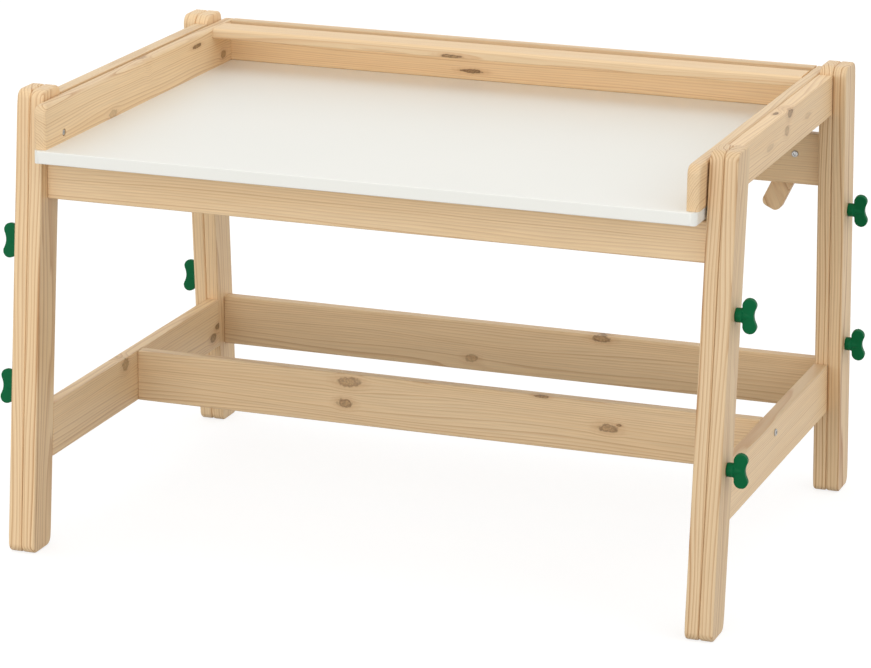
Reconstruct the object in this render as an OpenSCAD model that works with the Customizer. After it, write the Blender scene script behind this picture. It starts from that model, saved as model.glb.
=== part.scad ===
// Child's writing table in pine: splayed legs in two layers, the outer layer sliding down for more
// height, and a white tabletop in a tray of borders that tilts up on two swinging props.
// Frame: X to the right, Y to the back, Z up, origin on the floor under the middle of the table.

/* [Table] */
// Width over the outer faces of the legs
table_w = 920; // [800:10:1100]
// Depth over the feet, front to back
foot_spread = 670; // [600:10:760]
// Height of the writing surface with the legs pushed together
surface_h = 520; // [490:5:560]
// Thickness of every pine board in the frame
board_t = 17.5; // [17:0.5:20]

/* [Legs] */
// Width of a leg board, square to its length
leg_w = 52; // [48:1:60]
// Lean of a leg from upright
leg_tilt = 5; // [3:0.5:7]
// Height of the leg tops above the writing surface
leg_rise = 66; // [60:1:80]
// Radius of the corners on top of a leg
leg_top_r = 12; // [6:1:15]
// Radius of the corners of a foot
foot_r = 11; // [6:1:15]

/* [Tray] */
// Thickness of the white panel
panel_t = 16; // [14:1:19]
// Distance from the front feet back to the panel's front edge
panel_setback = 12; // [8:1:20]
// Distance from the rear feet forward to the panel's rear edge
panel_tail = 45; // [38:1:50]
// Radius of the panel's front corners
panel_corner_r = 9; // [4:1:15]
// Gap between the panel's ends and the inner legs
panel_gap = 3; // [2.5:0.5:5]
// Thickness of the borders
border_t = 16; // [14:1:19]
// Height of the borders above the writing surface
border_h = 55; // [50:1:60]
// Distance from the panel's front edge back to the side borders
border_setback = 6.5; // [2:0.5:12]
// Radius of the front top corner of a side border
border_nose_r = 12; // [6:1:16]
// Gap between a side border and the inner legs
side_gap = 2; // [1.5:0.5:2.5]
// Width of the open slot between ledge and rear border
slot_w = 21; // [14:1:28]
// Depth of the ledge, front to back
ledge_d = 45; // [35:1:60]
// Thickness of the ledge
ledge_t = 13; // [11:0.5:15]
// Radius of the ledge's front edge
ledge_nose_r = 8; // [4:1:10]

/* [Rails] */
// Height of a top side rail
top_rail_h = 53.5; // [40:0.5:60]
// Distance from the writing surface up to the top side rails
top_rail_rise = 2; // [2:1:6]
// Height of the lower rails and stretchers
low_rail_h = 68; // [60:1:80]
// Distance from the floor to the lower rails and stretchers
low_rail_z = 113; // [100:1:130]
// Height of the front apron
front_apron_h = 51; // [45:1:70]
// Gap between the panel's underside and the front apron
front_apron_gap = 4; // [4:0.5:10]
// Height of the rear apron
rear_apron_h = 68; // [60:1:76]
// Height of the rest blocks between rear apron and panel
rest_h = 14; // [10:1:20]
// Length of a rest block
rest_l = 60; // [40:5:100]
// Distance from the middle of the table to the middle of a rest block
rest_x = 280; // [200:10:300]

/* [Tilting] */
// Steepest tilt of the tabletop
tilt_max = 5; // [4:0.5:6]
// Height of the tilting pivot above the writing surface
pivot_rise = 11.5; // [11:0.5:16]
// Width of a prop
prop_w = 27; // [24:1:30]
// Thickness of a prop
prop_t = 15.7; // [12:0.1:18]
// Distance from the inner legs to a prop's pivot
prop_inset = 35; // [30:1:45]
// Distance from the top of the rear apron down to a prop's pivot
prop_drop = 28; // [24:1:34]
// Lean of a hanging prop from upright, lower end towards the middle
prop_lean = 25; // [20:1:30]
// Radius of the corners at a prop's tip
prop_tip_r = 10; // [6:0.5:12]
// Lean at which a raised prop stands under the tabletop
prop_stop = 5; // [5:1:7]
// Gap between a raised prop and the tilted tabletop
prop_tip_gap = 1.35; // [1.2:0.05:2.5]

/* [Height setting] */
// Height of the upper knobs above the floor, along the leg
knob_top = 392; // [350:1:400]
// Distance between the two knobs of a leg, which is also the travel of the outer leg
knob_pitch = 186; // [160:1:186]
// Distance that a knob stands out from the leg
knob_reach = 25.5; // [22:0.5:30]
// Height of a knob's wing
wing_h = 44; // [40:1:50]
// Thickness of a knob's wing
wing_t = 7; // [6:0.5:9]
// Diameter of the two lobes of a wing
lobe_d = 17; // [14:0.5:18]
// Depth of the hollow in a wing's outer edge
wing_dent = 3.3; // [2:0.1:4]
// Diameter of a knob's hub
hub_d = 17.5; // [16:0.5:20]
// Length of a knob's hub
hub_l = 8.5; // [6:0.5:9]
// Diameter of a knob's steel stud
stud_d = 8; // [6:1:8]
// Width of the steel track let into an inner leg
track_w = 20; // [19:0.5:22]
// Depth of the groove for the track
track_d = 9; // [8.5:0.5:9.5]
// Wall of the track
track_wall = 1.5; // [1:0.1:2]
// Thickness of a nut in the track
nut_t = 5; // [4:0.5:5]

/* [Fasteners] */
// Diameter of the frame bolts
bolt_d = 6; // [5:1:8]
// Diameter of a frame bolt's head
bolt_head_d = 13; // [11:0.5:14]
// Height of a bolt's head
bolt_head_h = 3.5; // [3:0.1:4]
// Diameter of a barrel nut
barrel_d = 10; // [9:0.5:12]
// Diameter of the frame dowels
dowel_d = 8; // [6:1:8]
// Diameter of the pivot bolts
pivot_d = 5; // [4:0.5:6]
// Diameter of a pivot bolt's head, sunk flush in a wider hole in the side border
pivot_head_d = 7.5; // [7:0.5:9]
// Diameter of the threaded inserts behind the pivot bolts
insert_d = 10; // [9:0.5:12]
// Diameter of the button heads on the lower side rails and the rear apron
button_head_d = 9; // [8:0.5:11]
// Height of a button head
button_head_h = 2.4; // [2:0.1:3.5]
// Diameter of the screws that hold the borders on the panel
screw_d = 4; // [3:0.5:5]
// Diameter of the border dowels
pin_d = 6; // [5:0.5:7]

/* [Hidden] */
$fn = 64;
// Overshoot of a cut past the face it opens
cut = 1;
// Radial clearance of a shaft that turns in its hole
turn_gap = 0.1;
// Radial clearance of a fixed pin, bolt or plug in its hole
fit_gap = 0.05;
// Gap between flat faces that slide past each other
slide_gap = 0.2;
PINE = "#E6C79C";
PINE_DARK = "#DDBB8C";
WHITE = "#F1EEE6";
GREEN = "#0A7542";
STEEL = "#B9BCC0";
BEECH = "#D9B68A";

// Side faces of the two leg layers, from the middle of the table outwards
inner_x = table_w / 2 - 2 * board_t;
outer_x = inner_x + board_t;
// Leg centre line: distance from the middle of the table at the floor, and the leg's level width
leg_level_w = leg_w / cos(leg_tilt);
foot_mid = foot_spread / 2 - leg_level_w / 2;
leg_h = surface_h + leg_rise;
function leg_mid_y(z) = foot_mid - z * tan(leg_tilt);
function leg_in_y(z) = leg_mid_y(z) - leg_level_w / 2;

// Heights
panel_z = surface_h - panel_t;
top_rail_z = surface_h + top_rail_rise;
front_apron_z = panel_z - front_apron_gap - front_apron_h;
rear_apron_top = panel_z - rest_h;
rear_apron_z = rear_apron_top - rear_apron_h;
// Middle planes of the cross boards, which stand in the middle of the legs
front_apron_y = -leg_mid_y(front_apron_z + front_apron_h / 2);
rear_apron_y = leg_mid_y(rear_apron_z + rear_apron_h / 2);
rear_stretcher_y = leg_mid_y(low_rail_z + low_rail_h / 2);

// Tray
panel_x = inner_x - panel_gap;
panel_front = -foot_spread / 2 + panel_setback;
panel_rear = foot_spread / 2 - panel_tail;
border_out = inner_x - side_gap;
border_in = border_out - border_t;
border_front = panel_front + border_setback;
border_rear_r = 3;
rear_border_y = panel_rear - border_t;
ledge_rear = rear_border_y - slot_w;
ledge_z = surface_h + border_h - ledge_t;
pivot_z = surface_h + pivot_rise;
pivot_y = -leg_mid_y(pivot_z);
washer_r = 10;

// Fixings
bolt_edge = 16;
bolt_reach = 55;
barrel_in = 45;
barrel_x = inner_x - barrel_in;
barrel_l = 12;
cross_dowel_in = 6;
cross_dowel_out = 24;
rail_dowel_edge = 15;
rail_dowel_in = 14;
rail_dowel_out = 26;
insert_l = 13;
pivot_head_gap = 1.1;
screw_head_d = 8;
screw_head_h = 3;
screw_grip = 25;
pin_in = 10;
pin_out = 10;
pin_edge = 14;
ledge_pin_edge = 12;

// Props
prop_x = inner_x - prop_inset;
prop_z = rear_apron_top - prop_drop;
prop_gap = 0.3;
prop_front = rear_apron_y + board_t / 2 + prop_gap;
prop_top_r = prop_w / 2 - 0.5;
prop_nut_h = 5;
prop_nut_d = 11;
// Height of the tilted panel's underside above a prop's pivot, and the prop's length that reaches it
tilted_z = pivot_z + (prop_front - pivot_y) * tan(tilt_max) - (pivot_z - panel_z) / cos(tilt_max);
tip_h = tilted_z - prop_z - prop_tip_gap;
prop_reach = prop_tip_r
    + (tip_h - prop_tip_r - (prop_w / 2 - prop_tip_r) * sin(prop_stop)) / cos(prop_stop);

// Height setting: the track starts just above the foot and ends over the upper nut
nut_side = track_w - 2 * track_wall - 1;
track_bottom = 4;
track_top = knob_top + nut_side / 2 + 4;
track_mouth = stud_d + 1;
track_in_x = outer_x - track_d + track_wall;
nut_x = outer_x - slide_gap - track_wall - slide_gap - nut_t;
stud_x = track_in_x + 0.5;
stud_grip = 13;

// Rounded outline through a list of convex corners, each with its own radius
function unit(v) = v / norm(v);
function half_angle(before, corner, after) = acos(unit(before - corner) * unit(after - corner)) / 2;
module rounded(corners, radii) {
    n = len(corners);
    at = function(i) corners[(i + n) % n];
    half = function(i) half_angle(at(i - 1), at(i), at(i + 1));
    // Where the rounding of corner i starts on the edge towards its neighbour
    start = function(i, side) at(i) + unit(at(i + side) - at(i)) * radii[i] / tan(half(i));
    polygon([for (i = [0:n - 1], side = [-1, 1]) start(i, side)]);
    for (i = [0:n - 1]) {
        inward = unit(unit(at(i - 1) - at(i)) + unit(at(i + 1) - at(i)));
        centre = at(i) + inward * radii[i] / sin(half(i));
        intersection() {
            translate(centre) circle(r = radii[i]);
            polygon([start(i, -1), at(i), start(i, 1), centre]);
        }
    }
}

// Outline drawn in Y and Z, made a board from x on outwards
module side_board(x, t) translate([x, 0, 0]) rotate([90, 0, 90]) linear_extrude(t) children();
// Outline drawn in X and Z, made a board from y on backwards
module cross_slab(y, t) translate([0, y + t, 0]) rotate([90, 0, 0]) linear_extrude(t) children();
module rod_x(r, x0, x1) translate([x0, 0, 0]) rotate([0, 90, 0]) cylinder(r = r, h = x1 - x0);
module rod_y(r, y0, y1) translate([0, y1, 0]) rotate([90, 0, 0]) cylinder(r = r, h = y1 - y0);

// The right rear quarter of the table turned into any quarter
module quarter(side, end)
    mirror([side < 0 ? 1 : 0, 0, 0]) mirror([0, end < 0 ? 1 : 0, 0]) children();
// Along a leg: Z runs up the centre line from the floor, Y across the leg
module on_leg() translate([0, foot_mid, 0]) rotate([leg_tilt, 0, 0]) children();
module at_knobs() for (s = [knob_top, knob_top - knob_pitch]) translate([0, 0, s]) children();

// Legs
module leg_board(x) {
    half = leg_level_w / 2;
    top_y = leg_mid_y(leg_h);
    side_board(x, board_t)
        rounded([[foot_mid - half, 0], [foot_mid + half, 0], [top_y + half, leg_h], [top_y - half, leg_h]],
            [foot_r, foot_r, leg_top_r, leg_top_r]);
}

// Holes of the rail dowels in a leg's inner edge, or the dowels themselves
module rail_dowels(r, z0, h) {
    for (z = [z0 + rail_dowel_edge, z0 + h - rail_dowel_edge])
        translate([inner_x + board_t / 2, 0, z])
            rod_y(r, leg_in_y(z) - rail_dowel_out, leg_in_y(z) + rail_dowel_in);
}

// Bolt of a cross board's end, from its head's outer face inwards
module end_bolt(y, z, head_x, gap, head_d, head_h = bolt_head_h) {
    translate([0, y, z]) {
        rod_x(bolt_d / 2 + gap, inner_x - bolt_reach, head_x - head_h + (gap > 0 ? cut : 0));
        rod_x(head_d / 2 + gap, head_x - head_h, head_x + (gap > 0 ? cut : 0));
    }
}
module cross_dowel(y, z, gap)
    translate([0, y, z]) rod_x(dowel_d / 2 + gap, inner_x - cross_dowel_out, inner_x + cross_dowel_in);

// Outer faces of the bolt heads: flush in the inner leg, or under the track in the rear stretcher's leg
apron_head_x = outer_x - slide_gap;
stretcher_head_x = outer_x - track_d;

module rear_leg_bolts(gap) {
    end_bolt(rear_apron_y, rear_apron_top - bolt_edge, apron_head_x, gap, bolt_head_d);
    end_bolt(rear_stretcher_y, low_rail_z + low_rail_h - bolt_edge, stretcher_head_x, gap, bolt_head_d);
}
module front_leg_bolts(gap)
    end_bolt(-front_apron_y, front_apron_z + front_apron_h - bolt_edge, apron_head_x, gap, bolt_head_d);
module rear_leg_dowels(gap) {
    cross_dowel(rear_apron_y, rear_apron_z + bolt_edge, gap);
    cross_dowel(rear_stretcher_y, low_rail_z + bolt_edge, gap);
}
module front_leg_dowels(gap) cross_dowel(-front_apron_y, front_apron_z + bolt_edge, gap);

module inner_leg(side, end) {
    color(PINE) quarter(side, end) difference() {
        leg_board(inner_x);
        on_leg() translate([outer_x - track_d, -track_w / 2 - fit_gap, -leg_w])
            cube([track_d + cut, track_w + 2 * fit_gap, leg_w + track_top + fit_gap]);
        rail_dowels(dowel_d / 2 + fit_gap, top_rail_z, top_rail_h);
        rail_dowels(dowel_d / 2 + fit_gap, low_rail_z, low_rail_h);
        if (end > 0) {
            rear_leg_bolts(fit_gap);
            rear_leg_dowels(fit_gap);
        } else {
            front_leg_bolts(fit_gap);
            front_leg_dowels(fit_gap);
            translate([0, -pivot_y, pivot_z])
                rod_x(insert_d / 2 + fit_gap, inner_x - cut, inner_x + insert_l);
        }
    }
}

module outer_leg(side, end) {
    color(PINE) quarter(side, end) difference() {
        leg_board(outer_x);
        on_leg() at_knobs() rod_x(stud_d / 2 + turn_gap, outer_x - cut, outer_x + board_t + cut);
    }
}

// Steel track in the inner leg's outer face, a C profile open towards the outer leg
module track(side, end) {
    depth = track_d - slide_gap;
    color(STEEL) quarter(side, end) on_leg() translate([outer_x - track_d, 0, track_bottom])
        linear_extrude(track_top - track_bottom) difference() {
            translate([0, -track_w / 2]) square([depth, track_w]);
            translate([track_wall, -track_w / 2 + track_wall])
                square([depth - 2 * track_wall, track_w - 2 * track_wall]);
            translate([depth - track_wall - cut, -track_mouth / 2])
                square([track_wall + 2 * cut, track_mouth]);
        }
}

module track_nuts(side, end) {
    color(STEEL) quarter(side, end) on_leg() at_knobs() difference() {
        translate([nut_x, -nut_side / 2, -nut_side / 2]) cube([nut_t, nut_side, nut_side]);
        rod_x(stud_d / 2 + fit_gap, nut_x - cut, nut_x + nut_t + cut);
    }
}

// Knobs
// Lean of each knob's wing from upright where it stands at rest, by side and end
function wing_lean(side, end) = side > 0 ? (end > 0 ? 12 : 6) : (end > 0 ? -6 : -8);
lobe_r = lobe_d / 2;
lobe_x = knob_reach - lobe_r;
lobe_z = wing_h / 2 - lobe_r;
// The hollow edge is an arc that touches both lobes
dent_reach = knob_reach - wing_dent - lobe_r;
dent_x = (lobe_x ^ 2 + lobe_z ^ 2 - dent_reach ^ 2) / (2 * (lobe_x - dent_reach));
dent_r = dent_x - knob_reach + wing_dent;
touch = [lobe_x, lobe_z] + lobe_r * unit([dent_x - lobe_x, -lobe_z]);

module wing_outline() {
    for (side = [-1, 1]) translate([lobe_x, side * lobe_z]) circle(r = lobe_r);
    difference() {
        polygon([[lobe_x - lobe_r, -lobe_z], [lobe_x, -lobe_z], [touch[0], -touch[1]],
            [touch[0], touch[1]], [lobe_x, lobe_z], [lobe_x - lobe_r, lobe_z]]);
        translate([dent_x, 0]) circle(r = dent_r);
    }
}

// Hub that runs out into a low ridge on the wing
module hub() {
    edge = 0.8;
    ridge_r = wing_t / 2 + 1.2;
    ridge_end = knob_reach - wing_dent - 3;
    rotate([0, 90, 0]) rotate_extrude()
        polygon([[0, 0], [hub_d / 2 - edge, 0], [hub_d / 2, edge], [hub_d / 2, hub_l - edge],
            [hub_d / 2 - edge, hub_l], [ridge_r + 0.5, hub_l + 1.5], [wing_t / 2 + 0.3, ridge_end - 1.5],
            [wing_t / 2 - 0.6, ridge_end], [0, ridge_end]]);
}

module at_knob(side, end, s)
    quarter(side, end) on_leg() translate([outer_x + board_t, 0, s])
        rotate([end * wing_lean(side, end) - leg_tilt, 0, 0]) children();

module knob(side, end, s) {
    color(GREEN) at_knob(side, end, s) difference() {
        union() {
            hub();
            cross_slab(-wing_t / 2, wing_t) wing_outline();
        }
        rod_x(stud_d / 2 + fit_gap, -cut, stud_grip + fit_gap);
    }
}
module stud(side, end, s)
    color(STEEL) at_knob(side, end, s) rod_x(stud_d / 2, stud_x - outer_x - board_t, stud_grip);

// Side rails
module side_rail(z0, h) {
    difference() {
        side_board(inner_x, board_t)
            polygon([[-leg_in_y(z0), z0], [leg_in_y(z0), z0], [leg_in_y(z0 + h), z0 + h],
                [-leg_in_y(z0 + h), z0 + h]]);
        for (end = [-1, 1]) quarter(1, end) rail_dowels(dowel_d / 2 + fit_gap, z0, h);
    }
}
module top_rail(side) color(PINE) quarter(side, 1) side_rail(top_rail_z, top_rail_h);
module stretcher_bolt(gap)
    end_bolt(0, low_rail_z + low_rail_h - bolt_edge, outer_x + button_head_h, gap, button_head_d,
        button_head_h);
module lower_rail(side) {
    color(PINE) quarter(side, 1) difference() {
        side_rail(low_rail_z, low_rail_h);
        stretcher_bolt(fit_gap);
        cross_dowel(0, low_rail_z + bolt_edge, fit_gap);
    }
}

// Cross boards between the legs, with the holes of their bolts, dowels and barrel nuts
module cross_board(y, z0, h) {
    bolt_z = z0 + h - bolt_edge;
    difference() {
        translate([-inner_x, y - board_t / 2, z0]) cube([2 * inner_x, board_t, h]);
        for (side = [-1, 1]) quarter(side, 1) {
            translate([0, y, bolt_z]) rod_x(bolt_d / 2 + fit_gap, inner_x - bolt_reach, inner_x + cut);
            cross_dowel(y, z0 + bolt_edge, fit_gap);
            translate([barrel_x, 0, bolt_z])
                rod_y(barrel_d / 2 + fit_gap, y - barrel_l / 2, y + board_t / 2 + cut);
        }
    }
}
module front_apron() color(PINE_DARK) cross_board(front_apron_y, front_apron_z, front_apron_h);
module rear_apron() {
    color(PINE_DARK) difference() {
        cross_board(rear_apron_y, rear_apron_z, rear_apron_h);
        for (side = [-1, 1]) translate([side * prop_x, rear_apron_y, prop_z])
            rod_y(bolt_d / 2 + fit_gap, -board_t / 2 - cut, board_t / 2 + cut);
    }
}
module front_stretcher() color(PINE_DARK) cross_board(0, low_rail_z, low_rail_h);
module rear_stretcher() color(PINE_DARK) cross_board(rear_stretcher_y, low_rail_z, low_rail_h);
module rest_blocks() {
    color(BEECH) for (side = [-1, 1])
        translate([side * rest_x - rest_l / 2, rear_apron_y - board_t / 2, rear_apron_top])
            cube([rest_l, board_t, rest_h]);
}

// Frame fasteners
module frame_bolts() {
    color(STEEL) for (side = [-1, 1]) {
        quarter(side, 1) rear_leg_bolts(0);
        quarter(side, -1) front_leg_bolts(0);
    }
}
module stretcher_bolts() color(STEEL) for (side = [-1, 1]) quarter(side, 1) stretcher_bolt(0);
module barrel_nut(y, z) {
    for (side = [-1, 1]) translate([side * barrel_x, y, z]) difference() {
        rod_y(barrel_d / 2, -barrel_l / 2, barrel_l / 2);
        rod_x(bolt_d / 2 + fit_gap, -barrel_d, barrel_d);
    }
}
module barrel_nuts() {
    color(STEEL) {
        barrel_nut(front_apron_y, front_apron_z + front_apron_h - bolt_edge);
        barrel_nut(rear_apron_y, rear_apron_top - bolt_edge);
        for (y = [0, rear_stretcher_y]) barrel_nut(y, low_rail_z + low_rail_h - bolt_edge);
    }
}
module frame_dowels() {
    color(BEECH) for (side = [-1, 1]) {
        for (end = [-1, 1]) quarter(side, end) {
            rail_dowels(dowel_d / 2, top_rail_z, top_rail_h);
            rail_dowels(dowel_d / 2, low_rail_z, low_rail_h);
        }
        quarter(side, 1) rear_leg_dowels(0);
        quarter(side, -1) front_leg_dowels(0);
        quarter(side, 1) cross_dowel(0, low_rail_z + bolt_edge, 0);
    }
}

// Tilting pivots: bolt through the side border, washer in the gap, insert in the inner leg
module at_pivots() for (side = [-1, 1]) quarter(side, 1) translate([0, pivot_y, pivot_z]) children();
module pivot_bolts() {
    color(STEEL) at_pivots() {
        rod_x(pivot_d / 2, border_in, inner_x + insert_l - 1);
        rod_x(pivot_head_d / 2, border_in, border_in + bolt_head_h);
    }
}
module pivot_washers() {
    color(STEEL) at_pivots() difference() {
        rod_x(washer_r, border_out + slide_gap, inner_x);
        rod_x(pivot_d / 2 + fit_gap, border_out, inner_x + cut);
    }
}
module pivot_inserts() {
    color(STEEL) at_pivots() difference() {
        rod_x(insert_d / 2, inner_x, inner_x + insert_l);
        rod_x(pivot_d / 2 + fit_gap, inner_x - cut, inner_x + insert_l + cut);
    }
}

// Tabletop
module panel_screws_at() {
    side_x = border_in + border_t / 2;
    for (side = [-1, 1], share = [0.2, 0.5, 0.8])
        translate([side * side_x, border_front + share * (panel_rear - border_front), 0]) children();
    for (x = [-1.5, -0.5, 0.5, 1.5]) translate([x * border_in / 2, panel_rear - border_t / 2, 0]) children();
}
module tabletop_panel() {
    corner = panel_corner_r;
    color(WHITE) difference() {
        translate([0, 0, panel_z]) linear_extrude(panel_t)
            rounded([[-panel_x, panel_front], [panel_x, panel_front], [panel_x, panel_rear],
                [-panel_x, panel_rear]], [corner, corner, border_rear_r, border_rear_r]);
        panel_screws_at() translate([0, 0, panel_z - cut]) {
            cylinder(d = screw_d + 2 * fit_gap, h = panel_t + 2 * cut);
            cylinder(d = screw_head_d + 2 * fit_gap, h = screw_head_h + cut);
        }
    }
}
module screw_holes() {
    panel_screws_at() translate([0, 0, surface_h - cut])
        cylinder(d = screw_d + 2 * fit_gap, h = screw_grip + cut);
}
module border_screws() {
    color(STEEL) panel_screws_at() translate([0, 0, panel_z]) {
        cylinder(d = screw_d, h = panel_t + screw_grip);
        cylinder(d = screw_head_d, h = screw_head_h);
    }
}
// Dowels from the rear border and the ledge into the side borders
module border_dowels_with(gap) {
    for (side = [-1, 1]) quarter(side, 1) {
        for (z = [surface_h + pin_edge, surface_h + border_h - pin_edge])
            translate([0, panel_rear - border_t / 2, z])
                rod_x(pin_d / 2 + gap, border_in - pin_out, border_in + pin_in);
        for (y = [ledge_rear - ledge_pin_edge, ledge_rear - ledge_d + ledge_pin_edge])
            translate([0, y, ledge_z + ledge_t / 2])
                rod_x(pin_d / 2 + gap, border_in - pin_out, border_in + pin_in);
    }
}
module border_dowels() color(BEECH) border_dowels_with(0);
module side_border(side) {
    top = surface_h + border_h;
    color(PINE) difference() {
        quarter(side, 1) side_board(border_in, border_t)
            rounded([[border_front, surface_h], [panel_rear, surface_h], [panel_rear, top],
                [border_front, top]], [1, 1, border_rear_r, border_nose_r]);
        at_pivots() {
            rod_x(pivot_d / 2 + turn_gap, border_in - cut, border_out + cut);
            rod_x(pivot_head_d / 2 + pivot_head_gap, border_in - cut, border_in + bolt_head_h);
        }
        border_dowels_with(fit_gap);
        screw_holes();
    }
}
module rear_border() {
    color(PINE_DARK) difference() {
        translate([-border_in, rear_border_y, surface_h]) cube([2 * border_in, border_t, border_h]);
        border_dowels_with(fit_gap);
        screw_holes();
    }
}
module ledge() {
    front = ledge_rear - ledge_d;
    top = ledge_z + ledge_t;
    color(PINE) difference() {
        side_board(-border_in, 2 * border_in)
            rounded([[front, ledge_z], [ledge_rear, ledge_z], [ledge_rear, top], [front, top]],
                [1.5, 1.5, 2, ledge_nose_r]);
        border_dowels_with(fit_gap);
    }
}

// Props that swing up behind the rear apron to hold the tabletop tilted
module prop(side) {
    color(PINE_DARK) quarter(side, 1) difference() {
        translate([prop_x, 0, prop_z]) rotate([0, prop_lean, 0]) cross_slab(prop_front, prop_t)
            rounded([[-prop_w / 2, -prop_reach], [prop_w / 2, -prop_reach], [prop_w / 2, prop_w / 2],
                [-prop_w / 2, prop_w / 2]], [prop_tip_r, prop_tip_r, prop_top_r, prop_top_r]);
        translate([prop_x, prop_front, prop_z]) rod_y(bolt_d / 2 + turn_gap, -cut, prop_t + cut);
    }
}
module at_props() for (side = [-1, 1]) translate([side * prop_x, 0, prop_z]) children();
module prop_bolts() {
    front = rear_apron_y - board_t / 2;
    color(STEEL) at_props() {
        rod_y(button_head_d / 2, front - button_head_h, front);
        rod_y(bolt_d / 2, front, prop_front + prop_t + prop_nut_h + 2);
    }
}
module prop_nuts() {
    rear = prop_front + prop_t + slide_gap;
    color(STEEL) at_props() difference() {
        translate([0, rear + prop_nut_h, 0]) rotate([90, 0, 0])
            cylinder(d = prop_nut_d, h = prop_nut_h, $fn = 6);
        rod_y(bolt_d / 2 + fit_gap, rear - cut, rear + prop_nut_h + cut);
    }
}

inner_leg(-1, -1);  // inner_leg_front_left
inner_leg(1, -1);  // inner_leg_front_right
inner_leg(-1, 1);  // inner_leg_rear_left
inner_leg(1, 1);  // inner_leg_rear_right
outer_leg(-1, -1);  // outer_leg_front_left
outer_leg(1, -1);  // outer_leg_front_right
outer_leg(-1, 1);  // outer_leg_rear_left
outer_leg(1, 1);  // outer_leg_rear_right
track(-1, -1);  // track_front_left
track(1, -1);  // track_front_right
track(-1, 1);  // track_rear_left
track(1, 1);  // track_rear_right
track_nuts(-1, -1);  // track_nuts_front_left
track_nuts(1, -1);  // track_nuts_front_right
track_nuts(-1, 1);  // track_nuts_rear_left
track_nuts(1, 1);  // track_nuts_rear_right
knob(-1, -1, knob_top);  // knob_front_left_upper
knob(1, -1, knob_top);  // knob_front_right_upper
knob(-1, 1, knob_top);  // knob_rear_left_upper
knob(1, 1, knob_top);  // knob_rear_right_upper
knob(-1, -1, knob_top - knob_pitch);  // knob_front_left_lower
knob(1, -1, knob_top - knob_pitch);  // knob_front_right_lower
knob(-1, 1, knob_top - knob_pitch);  // knob_rear_left_lower
knob(1, 1, knob_top - knob_pitch);  // knob_rear_right_lower
stud(-1, -1, knob_top);  // stud_front_left_upper
stud(1, -1, knob_top);  // stud_front_right_upper
stud(-1, 1, knob_top);  // stud_rear_left_upper
stud(1, 1, knob_top);  // stud_rear_right_upper
stud(-1, -1, knob_top - knob_pitch);  // stud_front_left_lower
stud(1, -1, knob_top - knob_pitch);  // stud_front_right_lower
stud(-1, 1, knob_top - knob_pitch);  // stud_rear_left_lower
stud(1, 1, knob_top - knob_pitch);  // stud_rear_right_lower
top_rail(-1);  // top_rail_left
top_rail(1);  // top_rail_right
lower_rail(-1);  // lower_rail_left
lower_rail(1);  // lower_rail_right
front_apron();
rear_apron();
front_stretcher();
rear_stretcher();
rest_blocks();
frame_bolts();
stretcher_bolts();
barrel_nuts();
frame_dowels();
pivot_bolts();
pivot_washers();
pivot_inserts();
prop_bolts();
prop_nuts();
tabletop_panel();
side_border(-1);  // border_left
side_border(1);  // border_right
rear_border();
ledge();
border_screws();
border_dowels();
prop(-1);  // prop_left
prop(1);  // prop_right
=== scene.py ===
"""Looks of the child's pine writing table: eased boards, wing knobs, bolts, finishes, camera, floor and light."""

import math

import bmesh
import bpy
from mathutils import Matrix, Vector


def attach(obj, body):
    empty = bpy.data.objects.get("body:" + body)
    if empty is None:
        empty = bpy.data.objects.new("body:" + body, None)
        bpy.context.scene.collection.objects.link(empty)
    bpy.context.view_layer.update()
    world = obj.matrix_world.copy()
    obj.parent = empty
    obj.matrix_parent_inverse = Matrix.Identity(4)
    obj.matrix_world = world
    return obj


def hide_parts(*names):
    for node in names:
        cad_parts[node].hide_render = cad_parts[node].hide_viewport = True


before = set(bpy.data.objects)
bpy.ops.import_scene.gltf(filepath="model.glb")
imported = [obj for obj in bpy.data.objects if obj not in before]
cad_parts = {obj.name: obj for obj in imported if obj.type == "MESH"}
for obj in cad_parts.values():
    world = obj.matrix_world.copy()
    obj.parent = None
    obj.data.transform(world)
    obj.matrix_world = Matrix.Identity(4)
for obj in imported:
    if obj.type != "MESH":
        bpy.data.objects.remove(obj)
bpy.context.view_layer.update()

# Lengths are written in mm and turned to the scene's metres
MM = 0.001
LEAN = math.radians(5)
SIDES = {"left": -1, "right": 1}


# Finishes


def linear(code):
    """sRGB hex colour as linear RGBA."""
    parts = [int(code[i:i + 2], 16) / 255 for i in (1, 3, 5)]
    return [p / 12.92 if p <= 0.04045 else ((p + 0.055) / 1.055) ** 2.4 for p in parts] + [1.0]


def grey(level):
    """Linear grey as RGBA."""
    return [level, level, level, 1.0]


def add(tree, kind, settings=None, links=None):
    """New node. Settings are its properties, ramp stops or input values, links are the outputs that feed its
    inputs."""
    node = tree.nodes.new("ShaderNode" + kind)
    for key, value in (settings or {}).items():
        if key == "stops":
            ramp = node.color_ramp.elements
            while len(ramp) < len(value):
                ramp.new(0.5)
            for element, (place, colour) in zip(ramp, value):
                element.position = place
                element.color = colour
        elif isinstance(key, str) and hasattr(node, key):
            setattr(node, key, value)
        else:
            node.inputs[key].default_value = value
    for key, source in (links or {}).items():
        tree.links.new(source, node.inputs[key])
    return node


def finish(name):
    """Empty material with its surface shader and the object's own coordinates."""
    material = bpy.data.materials.new(name)
    material.use_nodes = True
    tree = material.node_tree
    return material, tree, tree.nodes["Principled BSDF"], add(tree, "TexCoord").outputs["Object"]


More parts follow.
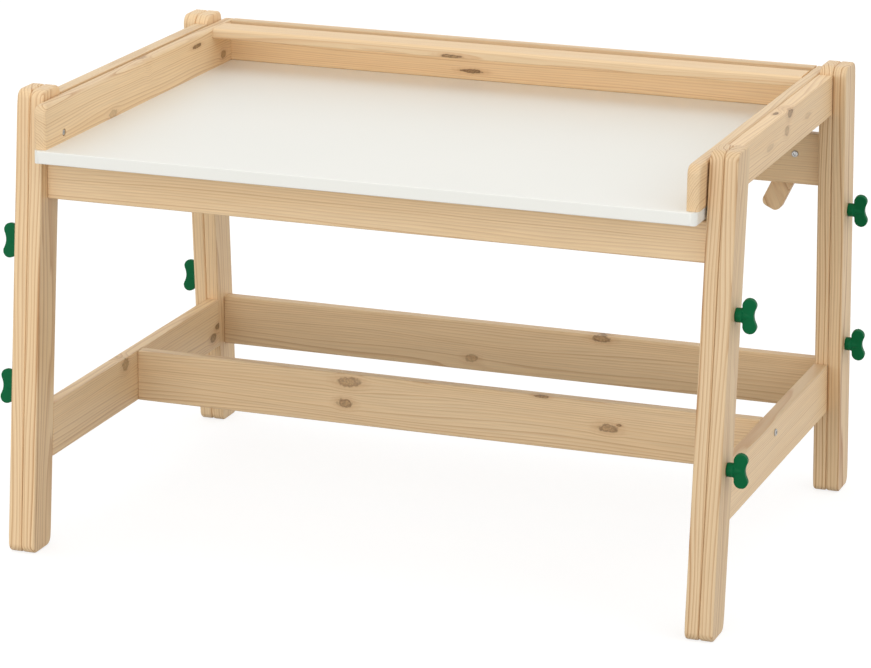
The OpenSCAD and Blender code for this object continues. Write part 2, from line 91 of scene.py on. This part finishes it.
def lay(tree, surface, paint, roughness, grain, relief=None, height=None):
    """Gives the surface its paint and a roughness that goes from one value to the other with the grain. Relief is a
    strength and a depth in mm, and follows the grain or a height of its own."""
    tree.links.new(paint, surface.inputs["Base Color"])
    rough = add(tree, "MapRange", {"To Min": roughness[0], "To Max": roughness[1]}, {"Value": grain})
    tree.links.new(rough.outputs[0], surface.inputs["Roughness"])
    if relief:
        bump = add(tree, "Bump", {"Strength": relief[0], "Distance": relief[1] * MM},
            {"Height": grain if height is None else height})
        tree.links.new(bump.outputs[0], surface.inputs["Normal"])


# Planed Nordic pine under a clear satin lacquer: pale straw earlywood, brown latewood lines that run with the board
# and show as arcs on its ends, faint fibre streaks, and brown knots that the grain flows round.
# Annual rings are 2 to 4 mm apart. Real fibres are 0.03 mm wide, too fine to show, and are drawn 1 mm wide.
# The fourth colour is painted shade, not heartwood: a darker tone laid near a board's heart line, over parts that lie
# in shade.
PALE, LATE, WARM, PAINTED_SHADE_COLOUR = "#EFD3AA", "#B98655", "#EAC899", "#D6BA93"
KNOT = [(0.0, "#B59165"), (0.3, "#9D7B50"), (0.5, "#B28E62"), (0.75, "#8F6D45"), (1.0, "#785733")]
# How dark a ring is from its inner to its outer side: slow rise to the latewood line, quick end
RING = [(0.0, grey(0)), (0.45, grey(0.08)), (0.8, grey(0.75)), (0.92, grey(1)), (1.0, grey(0.05))]


def from_knot(tree, point, spot, size):
    """A point's offset from a knot's middle, and its distance from there in half sizes of the knot."""
    off = add(tree, "VectorMath", {"operation": "SUBTRACT", 1: Vector(spot) * MM}, {0: point}).outputs[0]
    share = add(tree, "VectorMath", {"operation": "DIVIDE", 1: Vector(size) * MM}, {0: off}).outputs[0]
    return off, add(tree, "VectorMath", {"operation": "LENGTH"}, {0: share}).outputs["Value"]


def knotted(tree, place, paint, knots):
    """The paint with knots on it: mottled brown with a ragged rim, in a halo of latewood colour."""
    ragged = add(tree, "TexNoise", {"Scale": 1 / (5 * MM), "Detail": 2.0}, {"Vector": place})
    torn = add(tree, "Math", {"operation": "MULTIPLY_ADD", 1: 1.1, 2: -0.55}, {0: ragged.outputs[0]})
    mottle = add(tree, "TexNoise", {"Scale": 1 / (2.4 * MM), "Detail": 1.0}, {"Vector": place})
    mottle = add(tree, "MapRange", {"From Min": 0.35, "From Max": 0.65, "To Min": 0.72, "To Max": 1.25},
        {"Value": mottle.outputs[0]})
    for spot, size, depth in knots:
        distance = from_knot(tree, place, spot, size)[1]
        reach = add(tree, "Math", {"operation": "ADD"}, {0: distance, 1: torn.outputs[0]}).outputs[0]
        # Faint knots are paler too
        tint = 1.2 - 0.4 * depth
        stops = [(p, tuple(part * tint for part in linear(code)[:3]) + (1.0,)) for p, code in KNOT]
        core = add(tree, "ValToRGB", {"stops": stops}, {"Fac": reach})
        core = add(tree, "VectorMath", {"operation": "SCALE"}, {0: core.outputs[0], "Scale": mottle.outputs[0]})
        halo = add(tree, "MapRange", {"interpolation_type": "SMOOTHSTEP", "From Min": 0.8, "From Max": 2.6,
            "To Min": 0.4 * depth, "To Max": 0.0}, {"Value": reach})
        edge = add(tree, "MapRange", {"interpolation_type": "SMOOTHSTEP", "From Min": 0.8, "From Max": 1.2,
            "To Min": depth, "To Max": 0.0}, {"Value": reach})
        ringed = add(tree, "Mix", {"data_type": "RGBA", 7: linear(LATE)}, {0: halo.outputs[0], 6: paint})
        paint = add(tree, "Mix", {"data_type": "RGBA"},
            {0: edge.outputs[0], 6: ringed.outputs[2], 7: core.outputs[0]}).outputs[2]
    return paint


def pine(name, along, heart, ring=2.8, late=0.8, shade=0.0, knots=(), painted_shade_radius=0.0):
    """Pine for one board. The grain runs along a direction, round a heart line through a point in mm. Out to a radius
    in mm from the heart line the board is darker, as painted shade on parts that lie in shade. A knot is its middle
    and half size in mm, and how strongly it shows."""
    material, tree, surface, plain = finish("pine_" + name)
    # Near a knot the grain is drawn away from the knot's middle, so that it flows round it
    place = plain
    for spot, size, _ in knots:
        off, reach = from_knot(tree, place, spot, size)
        pull = add(tree, "MapRange", {"interpolation_type": "SMOOTHSTEP", "From Min": 0.4, "From Max": 2.8,
            "To Min": 0.7, "To Max": 0.0}, {"Value": reach})
        bend = add(tree, "VectorMath", {"operation": "SCALE"}, {0: off, "Scale": pull.outputs[0]})
        place = add(tree, "VectorMath", {"operation": "SUBTRACT"}, {0: place, 1: bend.outputs[0]}).outputs[0]
    turn = Vector(along).rotation_difference(Vector((0, 0, 1)))
    log = add(tree, "Mapping", {"Rotation": turn.to_euler(), "Location": -(turn @ Vector(heart)) * MM},
        {"Vector": place}).outputs[0]

    def pattern(across, length, detail, seed):
        """Noise in spots of a width and a length in mm that run with the grain."""
        stretched = add(tree, "Mapping", {"Scale": (1 / (across * MM), 1 / (across * MM), 1 / (length * MM)),
            "Location": (seed, seed * 1.7, seed * 0.6)}, {"Vector": log})
        return add(tree, "TexNoise", {"Scale": 1.0, "Detail": detail, "Roughness": 0.5},
            {"Vector": stretched.outputs[0]})

    def from_heart(point):
        """A point's distance from the heart line."""
        level = add(tree, "VectorMath", {"operation": "MULTIPLY", 1: (1, 1, 0)}, {0: point})
        return add(tree, "VectorMath", {"operation": "LENGTH"}, {0: level.outputs[0]}).outputs["Value"]

    # Each board has its own place in the patterns
    seed = sum(ord(letter) for letter in name) % 97 * 0.37
    # Rings wander by 10 mm to either side along the board, and ripple by 1.2 mm
    shifted = log
    for swing, across, length, offset in ((20, 45, 420, 0), (2.4, 9, 150, 5)):
        drift = add(tree, "VectorMath", {"operation": "MULTIPLY_ADD", 1: (swing * MM, swing * MM, 0),
            2: (-swing * MM / 2, -swing * MM / 2, 0)},
            {0: pattern(across, length, 1.0, seed + offset).outputs["Color"]})
        shifted = add(tree, "VectorMath", {"operation": "ADD"}, {0: shifted, 1: drift.outputs[0]}).outputs[0]
    rings = add(tree, "Math", {"operation": "DIVIDE", 1: ring * MM}, {0: from_heart(shifted)})
    within = add(tree, "Math", {"operation": "FRACT"}, {0: rings.outputs[0]})
    number = add(tree, "Math", {"operation": "FLOOR"}, {0: rings.outputs[0]})
    year = add(tree, "TexWhiteNoise", {"noise_dimensions": "1D"}, {"W": number.outputs[0]})
    line = add(tree, "ValToRGB", {"stops": RING}, {"Fac": within.outputs[0]})
    # Latewood lines are stronger in some years than in others
    strength = add(tree, "Math", {"operation": "MULTIPLY_ADD", 1: 0.75 * late, 2: 0.25 * late},
        {0: year.outputs["Value"]})
    dark = add(tree, "Math", {"operation": "MULTIPLY"}, {0: line.outputs[0], 1: strength.outputs[0]})
    fibre = pattern(1.0, 60, 2.0, seed + 9)
    tone = pattern(30, 260, 1.0, seed + 13)
    base = add(tree, "Mix", {"data_type": "RGBA", 6: linear(PALE), 7: linear(WARM)}, {0: tone.outputs[0]})
    # Painted shade: within the given radius of the heart line the paint turns to a darker tone, on the parts of the
    # board that lie in shade.
    if painted_shade_radius:
        inner = add(tree, "MapRange", {"interpolation_type": "SMOOTHSTEP", "From Min": painted_shade_radius * MM,
            "From Max": (painted_shade_radius + 4.5) * MM, "To Min": 1.0, "To Max": 0.0}, {"Value": from_heart(log)})
        base = add(tree, "Mix", {"data_type": "RGBA", 7: linear(PAINTED_SHADE_COLOUR)},
            {0: inner.outputs[0], 6: base.outputs[2]})
    grain = add(tree, "Mix", {"data_type": "RGBA", 7: linear(LATE)}, {0: dark.outputs[0], 6: base.outputs[2]})
    streak = add(tree, "MapRange", {"From Min": 0.3, "From Max": 0.7, "To Min": 0.93 - shade,
        "To Max": 1.05 - shade}, {"Value": fibre.outputs[0]})
    paint = add(tree, "VectorMath", {"operation": "SCALE"},
        {0: grain.outputs[2], "Scale": streak.outputs[0]}).outputs[0]
    if knots:
        paint = knotted(tree, plain, paint, knots)
    height = add(tree, "Math", {"operation": "MULTIPLY_ADD", 1: 0.5}, {0: fibre.outputs[0], 2: dark.outputs[0]})
    lay(tree, surface, paint, (0.44, 0.56), fibre.outputs[0], (0.25, 0.15), height.outputs[0])
    return material


# White acrylic coating on a smooth board: even warm white, satin, with the faint orange peel of a rolled lacquer
def white_coating():
    """Finish of the tabletop."""
    material, tree, surface, place = finish("white_acrylic_coating")
    peel = add(tree, "TexNoise", {"Scale": 1 / (3 * MM), "Detail": 2.0}, {"Vector": place})
    cloud = add(tree, "TexNoise", {"Scale": 1 / (160 * MM), "Detail": 1.0}, {"Vector": place})
    colour = add(tree, "Mix", {"data_type": "RGBA", 6: linear("#F1F1EA"), 7: linear("#F4F3EC")},
        {0: cloud.outputs[0]})
    lay(tree, surface, colour.outputs[2], (0.34, 0.42), peel.outputs[0], (0.12, 0.1))
    return material


# Moulded polypropylene in a strong bluish green: soft sheen, fine spark-eroded grain, a little paler where it is
# rubbed
def green_plastic():
    """Finish of the wing knobs."""
    material, tree, surface, place = finish("green_polypropylene")
    surface.inputs["Specular IOR Level"].default_value = 0.12
    grain = add(tree, "TexNoise", {"Scale": 1 / (0.8 * MM), "Detail": 2.0}, {"Vector": place})
    cloud = add(tree, "TexNoise", {"Scale": 1 / (14 * MM), "Detail": 2.0}, {"Vector": place})
    colour = add(tree, "Mix", {"data_type": "RGBA", 6: linear("#006036"), 7: linear("#00693E")},
        {0: cloud.outputs[0]})
    lay(tree, surface, colour.outputs[2], (0.36, 0.5), grain.outputs[0], (0.15, 0.08))
    return material


# Bright zinc-plated steel: cool grey metal with soft cloudy spangle and slight wear
def zinc_steel():
    """Finish of bolts, nuts, screws and tracks."""
    material, tree, surface, place = finish("bright_zinc_steel")
    surface.inputs["Metallic"].default_value = 1.0
    spangle = add(tree, "TexNoise", {"Scale": 1 / (2.5 * MM), "Detail": 3.0}, {"Vector": place})
    colour = add(tree, "Mix", {"data_type": "RGBA", 6: linear("#A6A5A3"), 7: linear("#C4C3C1")},
        {0: spangle.outputs[0]})
    lay(tree, surface, colour.outputs[2], (0.24, 0.4), spangle.outputs[0])
    return material


# Turned beech: even pinkish tan with short dark flecks, unfinished and matt
def beech():
    """Finish of the dowels and the rest blocks."""
    material, tree, surface, place = finish("turned_beech")
    stretched = add(tree, "Mapping", {"Scale": (1 / (6 * MM), 1 / (0.7 * MM), 1 / (0.7 * MM))}, {"Vector": place})
    fleck = add(tree, "TexNoise", {"Scale": 1.0, "Detail": 2.0}, {"Vector": stretched.outputs[0]})
    spots = add(tree, "MapRange", {"From Min": 0.6, "From Max": 0.7}, {"Value": fleck.outputs[0]})
    colour = add(tree, "Mix", {"data_type": "RGBA", 6: linear("#D9B68A"), 7: linear("#B98D60")},
        {0: spots.outputs[0]})
    lay(tree, surface, colour.outputs[2], (0.55, 0.7), fleck.outputs[0])
    return material


WHITE, GREEN, STEEL, BEECH = white_coating(), green_plastic(), zinc_steel(), beech()


# Pieces


def linked(name, data):
    """New object in the scene."""
    made = bpy.data.objects.new(name, data)
    bpy.context.scene.collection.objects.link(made)
    return made


def as_object(form, name):
    """The form as a new object, which ends the form."""
    mesh = bpy.data.meshes.new(name)
    form.to_mesh(mesh)
    form.free()
    return linked(name, mesh)


def flattened(form):
    """Makes faces that lie in one plane one face."""
    bmesh.ops.dissolve_limit(form, angle_limit=math.radians(1), verts=form.verts, edges=form.edges)


def copied(node):
    """The node's own form, its points joined and its flat faces whole."""
    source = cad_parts[node].data
    mesh = bpy.data.meshes.new(node + "_copy")
    mesh.from_pydata([v.co[:] for v in source.vertices], [], [p.vertices[:] for p in source.polygons])
    form = bmesh.new()
    form.from_mesh(mesh)
    bpy.data.meshes.remove(mesh)
    bmesh.ops.remove_doubles(form, verts=form.verts, dist=0.01 * MM)
    flattened(form)
    bmesh.ops.recalc_face_normals(form, faces=form.faces)
    return form


def placed(form, name, material, body, nodes):
    """The form as a smooth piece of the table that rides on a body and stands in for its nodes."""
    for face in form.faces:
        face.smooth = True
    piece = as_object(form, name)
    piece.data.materials.append(material)
    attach(piece, body)
    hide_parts(*nodes)
    return piece


# Faces of a board's outline that are smaller than this, in square mm, are the arcs of a tight corner, and left out
SMALL_FACE = 25
# The outline stands this many mm proud of the board, so that none of their faces fall together
PROUD = 0.01
# Edges of the outline that turn by more than this, in radians, are sanded
SANDED_TURN = 0.7
# A board's flat sides are more than this many mm wide, and its faces belong to them above this cosine
FLAT_WIDTH, FLAT_COSINE = 8, 0.9998
# What the modifier that evens the shading reads as a strong face and as a common one
STRONG_FACE, COMMON_FACE = 16384, 0


def outline_of(form):
    """The form's outer shape as a convex solid, and the ways that its flat sides face."""
    hull = bmesh.new()
    for vert in form.verts:
        hull.verts.new(vert.co)
    bmesh.ops.convex_hull(hull, input=hull.verts)
    flattened(hull)
    outline = bmesh.new()
    bmesh.ops.create_cube(outline, size=4)
    flat_ways = []
    for face in hull.faces:
        area = face.calc_area()
        if area > SMALL_FACE * MM ** 2:
            cut = bmesh.ops.bisect_plane(outline, geom=outline.verts[:] + outline.edges[:] + outline.faces[:],
                plane_co=face.verts[0].co + face.normal * PROUD * MM, plane_no=face.normal, clear_outer=True)
            rim = [part for part in cut["geom_cut"] if isinstance(part, bmesh.types.BMEdge)]
            bmesh.ops.contextual_create(outline, geom=rim)
        if area > FLAT_WIDTH * MM * max(edge.calc_length() for edge in face.edges):
            flat_ways.append(face.normal.copy())
    hull.free()
    bmesh.ops.recalc_face_normals(outline, faces=outline.faces)
    return outline, flat_ways


def board(node, body, material, ease, softer=None):
    """A node's board with its outer edges eased by a sander. Softer gives the share of the ease by the edge's middle.
    The node's form is cut by its own outline with eased edges, so that holes and grooves stay as they are."""
    form = copied(node)
    outline, flat_ways = outline_of(form)
    weight = outline.edges.layers.float.new("bevel_weight_edge")
    for edge in outline.edges:
        if edge.calc_face_angle() > SANDED_TURN:
            middle = (edge.verts[0].co + edge.verts[1].co) / 2
            edge[weight] = softer(middle) if softer else 1.0
    sawn, eased = as_object(form, node + "_sawn"), as_object(outline, node + "_eased")
    easing = eased.modifiers.new("eased_edges", "BEVEL")
    easing.limit_method = "WEIGHT"
    easing.width = ease * MM
    easing.segments = 4
    easing.use_clamp_overlap = False
    common = eased.modifiers.new("common", "BOOLEAN")
    common.operation = "INTERSECT"
    common.solver = "MANIFOLD"
    common.object = sawn
    bpy.context.view_layer.update()
    whole = bpy.data.meshes.new_from_object(eased.evaluated_get(bpy.context.evaluated_depsgraph_get()))
    form = bmesh.new()
    form.from_mesh(whole)
    for mesh in (whole, sawn.data, eased.data):
        bpy.data.meshes.remove(mesh)
    bmesh.ops.remove_doubles(form, verts=form.verts, dist=0.005 * MM)
    flattened(form)
    piece = placed(form, node + "_board", material, body, [node])
    piece.data.set_sharp_from_angle(angle=math.radians(32))
    # The board's flat sides lead the shading, and the eased edges follow them
    lead = piece.data.attributes.new("__mod_weightednormals_faceweight", "INT", "FACE")
    for face in piece.data.polygons:
        flat = any(face.normal.dot(way) > FLAT_COSINE for way in flat_ways)
        lead.data[face.index].value = STRONG_FACE if flat else COMMON_FACE
    level = piece.modifiers.new("flat_faces", "WEIGHTED_NORMAL")
    level.keep_sharp = True
    level.weight = 100
    level.use_face_influence = True


def leg_softer(middle):
    """Legs are sanded in full at the top, at the foot and where the two boards meet, and less elsewhere."""
    at_joint = abs(abs(middle.x) - 442.5 * MM) < MM
    at_end = middle.z > 550 * MM or middle.z < 30 * MM
    return 1.0 if at_joint or at_end else 0.6


def rail_softer(middle):
    """Side rails are sanded less on the inner side, where cross boards meet them."""
    return 0.3 if abs(middle.x) < 430 * MM else 1.0


def border_softer(middle):
    """Side borders stay sharp at the foot, which is glued to the panel, and at the rear border."""
    glued = middle.z < 530 * MM or (middle.y > 280 * MM and abs(middle.x) < 410 * MM)
    return 0.0 if glued else 1.0


def glued_ends(middle):
    """Rear border and ledge stay sharp at both ends, which are glued to the side borders."""
    return 0.0 if abs(middle.x) > 400 * MM else 1.0


RIGHT_WAY, BACK_WAY = (1, 0, 0), (0, 1, 0)
LEG_WAYS = {"front": (0, math.sin(LEAN), math.cos(LEAN)), "rear": (0, -math.sin(LEAN), math.cos(LEAN))}
# Middle of a foot in front and rear, and of an inner and outer leg board to the side
FOOT_Y = {"front": -308.9, "rear": 308.9}
LAYER_X = {"inner": 433.7, "outer": 451.2}
# Ring width by layer, and how far the heart line lies outward and back from the middle of the board
LEG_RINGS = {"inner": 3.4, "outer": 3.9}
LEG_HEARTS = {
    "inner": {"front": (65, 24), "rear": (-63, -34)},
    "outer": {"front": (-71, 30), "rear": (83, -22)},
}
# Strength of the latewood and shade of each leg's two boards
LEG_TONES = {
    "front_left": (1.15, -0.06), "front_right": (1.15, 0.05), "rear_left": (0.6, -0.08), "rear_right": (1.15, 0.0),
}
for layer, hearts in LEG_HEARTS.items():
    for leg, (late, shade) in LEG_TONES.items():
        end, side = leg.split("_")
        outward, back = hearts[end]
        node = f"{layer}_leg_{leg}"
        heart = (SIDES[side] * (LAYER_X[layer] + outward), FOOT_Y[end] + back, 0)
        wood = pine(node, LEG_WAYS[end], heart, LEG_RINGS[layer], late, shade)
        board(node, "frame" if layer == "inner" else "leg_" + leg, wood, 3.0, softer=leg_softer)

# Other boards: heart line, then ring width, strength of the latewood, shade and the radius of painted shade round the
# heart line where these vary, and knots. Side rails and borders have their heart line beside the board, cross boards
# below or above it
SIDE_BOARDS = {
    "top_rail_left": ((-433, 0, 470), 2.6, 0.03, 0, []),
    "top_rail_right": ((470, 0, 500), 2.6, -0.08, 0, [((442.5, 18.5, 570), (14, 11, 5), 0.8),
        ((442.5, 6, 550.5), (12, 10, 6), 0.5), ((433, -15, 575.5), (3, 7, 3), 1.0),
        ((442.5, -73, 546), (12, 16, 4), 0.25), ((442.5, 108.6, 548), (12, 13, 4), 0.25)]),
    "lower_rail_left": ((-460, 0, 90), 3.0, -0.08, 0, [((-425, -47, 172), (60, 10, 8), 0.6),
        ((-425, 264, 143), (60, 7, 4), 0.9), ((-425, 249, 130), (60, 10, 6), 0.8)]),
    # The lower right rail's 79.5 mm reach is painted shade on its top face, which the tabletop shades.
    "lower_rail_right": ((434, 0, 260), 3.0, -0.08, 79.5, []),
}
for node, (heart, ring, shade, painted_shade_radius, knots) in SIDE_BOARDS.items():
    board(node, "frame", pine(node, BACK_WAY, heart, ring, 0.65, shade, knots, painted_shade_radius), 2.0, softer=rail_softer)

CROSS_BOARDS = {
    "front_apron": ((0, -230, 410), 3.2, 0.65, -0.03, []),
    "rear_apron": ((0, 240, 400), 3.0, 0.35, -0.08, []),
    "front_stretcher": ((0, 30, 90), 3.1, 0.62, 0.05, [((-125.5, -9, 170.5), (15, 60, 6.5), 0.65),
        ((-131.3, -9, 141), (10, 60, 5.5), 0.8), ((137.3, -9, 180), (9, 6, 1.8), 0.9),
        ((227, -9, 148), (12, 60, 5.5), 0.75), ((241, -9, 153.5), (3, 60, 1.5), 1.0)]),
    "rear_stretcher": ((0, 330, 95), 2.8, 0.62, 0.05, [((-60, 287, 130), (9, 60, 5), 0.5),
        ((125, 286, 177), (12, 60, 4.5), 0.8)]),
}
for node, (heart, ring, late, shade, knots) in CROSS_BOARDS.items():
    board(node, "frame", pine(node, RIGHT_WAY, heart, ring, late, shade, knots), 2.0)

SIDE_BORDERS = {
    "border_left": ((-470, 0, 470), 0.0, [((-407, 155, 561), (60, 14, 2.6), 1.0),
        ((-407, 246, 533), (60, 8, 5), 0.75), ((-407, -116, 525), (60, 12, 5), 0.4),
        ((-418, -2, 575), (6, 10, 20), 0.4)]),
    "border_right": ((470, 0, 500), 0.01, []),
}
for node, (heart, shade, knots) in SIDE_BORDERS.items():
    board(node, "tabletop", pine(node, BACK_WAY, heart, 2.7, 0.7, shade, knots), 4.2, softer=border_softer)

# The rear border's 39.5 mm reach is painted shade on the top of its front face, down in the slot behind the ledge.
wood = pine("rear_border", RIGHT_WAY, (0, 250, 600), 3.0, 0.6, -0.08, [((-59.3, 274, 532), (14, 60, 2.6), 1.0)],
    39.5)
board("rear_border", "tabletop", wood, 2.0, glued_ends)
# The ledge's 63.5 mm reach is painted shade on the lower part of its rounded nose, which gets less light from above.
wood = pine("ledge", RIGHT_WAY, (0, 150, 545), 2.4, 0.6, -0.08, [((-66.5, 208, 564.5), (14, 60, 2.4), 1.0)], 63.5)
board("ledge", "tabletop", wood, 0.8, softer=glued_ends)
for side, sign in SIDES.items():
    node = "prop_" + side
    lean = math.radians(25) * -sign
    wood = pine(node, (math.sin(lean), 0, math.cos(lean)), (sign * 330, 330, 470), 2.8, 0.8, -0.06)
    board(node, node, wood, 2.0)
board("rest_blocks", "frame", BEECH, 1.0)
board("tabletop_panel", "tabletop", WHITE, 1.5)


def knob(node):
    """Wing knob with the soft fillets of a moulding, grown from the node's own form. It turns on its own body."""
    piece = placed(copied(node), node.replace("knob", "wing_knob"), GREEN, node, [node])
    skin = piece.modifiers.new("moulded_skin", "REMESH")
    skin.mode = "VOXEL"
    skin.voxel_size = 0.6 * MM
    skin.use_smooth_shade = True
    soften = piece.modifiers.new("soft_edges", "SMOOTH")
    soften.factor = 0.5
    soften.iterations = 7


for end in ("front", "rear"):
    for side in SIDES:
        for level in ("upper", "lower"):
            knob(f"knob_{end}_{side}_{level}")


def turned(form, start, way, rings, steps=48):
    """Adds a round closed part to the form. It starts at a point in mm and runs one way. Each ring is its depth, its
    radius, and whether it has six sides."""
    turn = Vector((0, 0, 1)).rotation_difference(Vector(way))
    half, side = math.pi / 6, math.pi / 3
    last = None
    for depth, radius, six in rings:
        loop = []
        for i in range(steps if radius else 1):
            angle = 2 * math.pi * i / steps
            reach = radius * math.cos(half) / math.cos((angle + half) % side - half) if six else radius
            spot = Vector((reach * math.cos(angle), reach * math.sin(angle), depth))
            loop.append(form.verts.new((turn @ spot + Vector(start)) * MM))
        for i in range(steps if last else 0):
            j = (i + 1) % steps
            if len(last) == 1:
                form.faces.new((last[0], loop[i], loop[j]))
            elif len(loop) == 1:
                form.faces.new((last[i], loop[0], last[j]))
            else:
                form.faces.new((last[i], loop[i], loop[j], last[j]))
        last = loop


def bolts(node, body, spots, head_r, head_h, shank_r, length, socket_share=0.5):
    """Bolts with a rounded head and a hexagon socket. Each spot is the middle of the head's outer face, and the way
    in. The socket's share is of the head's radius."""
    form = bmesh.new()
    socket, floor = head_r * socket_share, head_h * 0.6 + 0.4
    # From the socket's floor over the head and down the shank
    rings = [(floor, 0, True), (floor, socket, True), (head_h * 0.06, socket, True), (0, socket * 1.12, False),
        (head_h * 0.04, head_r * 0.72, False), (head_h * 0.16, head_r * 0.9, False),
        (head_h * 0.42, head_r * 0.985, False), (head_h * 0.6, head_r, False), (head_h, head_r, False),
        (head_h, shank_r, False), (length - 1, shank_r, False), (length, shank_r - 0.8, False), (length, 0, False)]
    for start, way in spots:
        turned(form, start, way, rings)
    bmesh.ops.recalc_face_normals(form, faces=form.faces)
    piece = placed(form, node + "_socket_head", STEEL, body, [node])
    piece.data.set_sharp_from_angle(angle=math.radians(35))


bolts("pivot_bolts", "frame", [((sign * 407, -262.42, 531.5), (sign, 0, 0)) for sign in SIDES.values()],
    3.75, 3.5, 2.5, 30, 0.3)
bolts("stretcher_bolts", "frame", [((sign * 444.9, 0, 165), (-sign, 0, 0)) for sign in SIDES.values()],
    4.5, 2.4, 3, 74.9)
bolts("prop_bolts", "frame", [((sign * 390, 257.87, 462), BACK_WAY) for sign in SIDES.values()],
    4.5, 2.4, 3, 42.9)

# The other nodes keep their own form
for name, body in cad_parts.items():
    if not body.hide_render:
        body.data.materials.clear()
        body.data.materials.append(BEECH if name in ("frame_dowels", "border_dowels") else STEEL)


# Camera, floor and light

# The photo's camera without its shift, solved from the table's edges and corners: turn in degrees, place in mm, and
# focal length in pixels of the photo's width
YAW, PITCH, ROLL = 19.51, -15.82, 0.625
CAMERA_PLACE = (1579.817, -4487.489, 1594.156)
FOCAL_LENGTH, PHOTO_WIDTH = 3850.564, 871


def camera():
    """Camera at the photo's viewing angle."""
    yaw, pitch, roll = math.radians(YAW), math.radians(PITCH), math.radians(ROLL)
    forward = Vector((-math.sin(yaw) * math.cos(pitch), math.cos(yaw) * math.cos(pitch), math.sin(pitch)))
    right = Vector((math.cos(yaw), math.sin(yaw), 0))
    up = right.cross(forward)
    x = right * math.cos(roll) + up * math.sin(roll)
    y = up * math.cos(roll) - right * math.sin(roll)
    data = bpy.data.cameras.new("view")
    data.sensor_width = 36
    data.lens = 36 * FOCAL_LENGTH / PHOTO_WIDTH
    data.clip_start, data.clip_end = 0.1, 100
    view = linked("view", data)
    turn = Matrix((x, y, -forward)).transposed()
    view.matrix_world = Matrix.Translation(Vector(CAMERA_PLACE) * MM) @ turn.to_4x4()
    bpy.context.scene.camera = view


def seen(tree):
    """1 for what the camera, gloss and glass show, and 0 for what lights the table."""
    path = add(tree, "LightPath")
    shown = add(tree, "Math", {"operation": "MAXIMUM"},
        {0: path.outputs["Is Camera Ray"], 1: path.outputs["Is Glossy Ray"]})
    return add(tree, "Math", {"operation": "MAXIMUM"},
        {0: shown.outputs[0], 1: path.outputs["Is Transmission Ray"]}).outputs[0]


def pale_floor():
    """Pale floor: it takes the table's soft shadow and gives back a part of its light, and to the camera, gloss and
    glass it adds enough of its own to stand at white where nothing shades it."""
    mesh = bpy.data.meshes.new("floor")
    mesh.from_pydata([(-20, -20, 0), (20, -20, 0), (20, 20, 0), (-20, 20, 0)], [], [(0, 1, 2, 3)])
    floor = linked("floor", mesh)
    paper, tree, surface, _ = finish("white_floor_paper")
    surface.inputs["Base Color"].default_value = grey(0.4)
    surface.inputs["Roughness"].default_value = 0.9
    surface.inputs["Specular IOR Level"].default_value = 0.0
    matt = add(tree, "BsdfDiffuse", {"Color": grey(0.34)})
    glow = add(tree, "Emission", {"Color": grey(1.0), "Strength": 0.76})
    shown = add(tree, "AddShader", None, {0: matt.outputs[0], 1: glow.outputs[0]})
    mixed = add(tree, "MixShader", None, {0: seen(tree), 1: surface.outputs[0], 2: shown.outputs[0]})
    tree.links.new(mixed.outputs[0], tree.nodes["Material Output"].inputs["Surface"])
    mesh.materials.append(paper)


def studio():
    """White room all round. It lights the table a little less than it shows."""
    world = bpy.data.worlds.new("studio")
    bpy.context.scene.world = world
    world.use_nodes = True
    tree = world.node_tree
    tree.nodes.clear()
    level = add(tree, "MapRange", {"To Min": 0.92, "To Max": 1.0}, {"Value": seen(tree)})
    sky = add(tree, "Background", {"Color": grey(1.0)}, {"Strength": level.outputs[0]})
    add(tree, "OutputWorld", None, {"Surface": sky.outputs[0]})


def lamp(name, place, target, size, power):
    """Square soft lamp at a place in metres, turned to a target, with its power in watts."""
    data = bpy.data.lights.new(name, "AREA")
    data.size = size
    data.energy = power
    made = linked(name, data)
    made.location = place
    made.rotation_euler = (Vector(target) - Vector(place)).to_track_quat("-Z", "Y").to_euler()


camera()
pale_floor()
studio()
lamp("front_softbox", (-0.6, -4.2, 1.0), (0, 0, 0.35), 2.0, 38)
lamp("side_softbox", (3.6, -1.6, 2.0), (0, 0, 0.4), 2.0, 13)

bpy.context.scene.view_settings.view_transform = "Standard"
